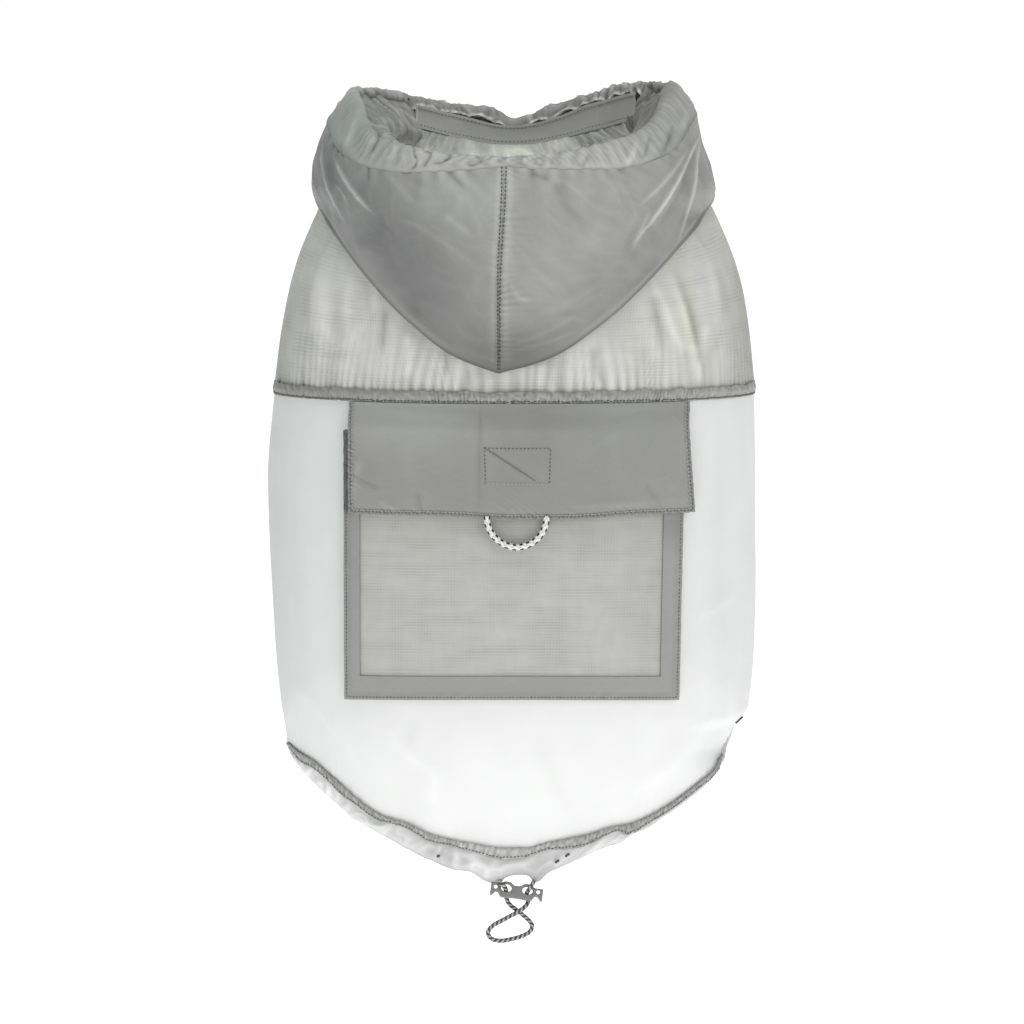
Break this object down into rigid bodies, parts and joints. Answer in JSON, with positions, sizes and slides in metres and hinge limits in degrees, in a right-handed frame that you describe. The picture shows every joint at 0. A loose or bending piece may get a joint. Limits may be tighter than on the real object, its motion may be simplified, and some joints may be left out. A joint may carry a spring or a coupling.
{
  "type": "dog cooling vest",
  "caption": "Filled-out dog cooling vest with a folded hood on the shoulders, a flapped back pocket, open neck, leg holes and a corded back hem.",
  "frame": {"origin": "middle of the neck opening, level with the neck edge", "axes": "+Z out of the neck opening, -Y towards the back of the garment, +X to its right as its back is looked at"},
  "size_m": [0.2345, 0.1619, 0.405],
  "materials": {
    "nylon_grey": "crinkled opaque nylon with a soft sheen",
    "ripstop_grey": "thin ripstop that lets light through",
    "cloth_white": "thin frosted cloth with a smooth hand",
    "braid_white": "white braid flecked with dark yarn",
    "cord_elastic": "grey braided elastic",
    "toggle_plastic": "moulded, satin"
  },
  "bodies": {
    "root": {"yoke_back": "ripstop_grey", "back_panel": "cloth_white", "chest_belly_panel": "cloth_white", "leg_binding_left": "nylon_grey", "leg_binding_right": "nylon_grey", "yoke_seam_band": "nylon_grey", "pocket_bag": "ripstop_grey", "pocket_border": "nylon_grey", "pocket_flap": "nylon_grey", "hem_band_back": "nylon_grey", "hem_casing_back": "cloth_white", "belly_hem": "cloth_white", "hood_left": "nylon_grey", "hood_right": "nylon_grey", "hood_casing": "nylon_grey", "neck_band": "nylon_grey", "cord_toggle": "toggle_plastic", "flap_loop": "braid_white", "hem_cord": "cord_elastic"}
  },
  "joints": []
}
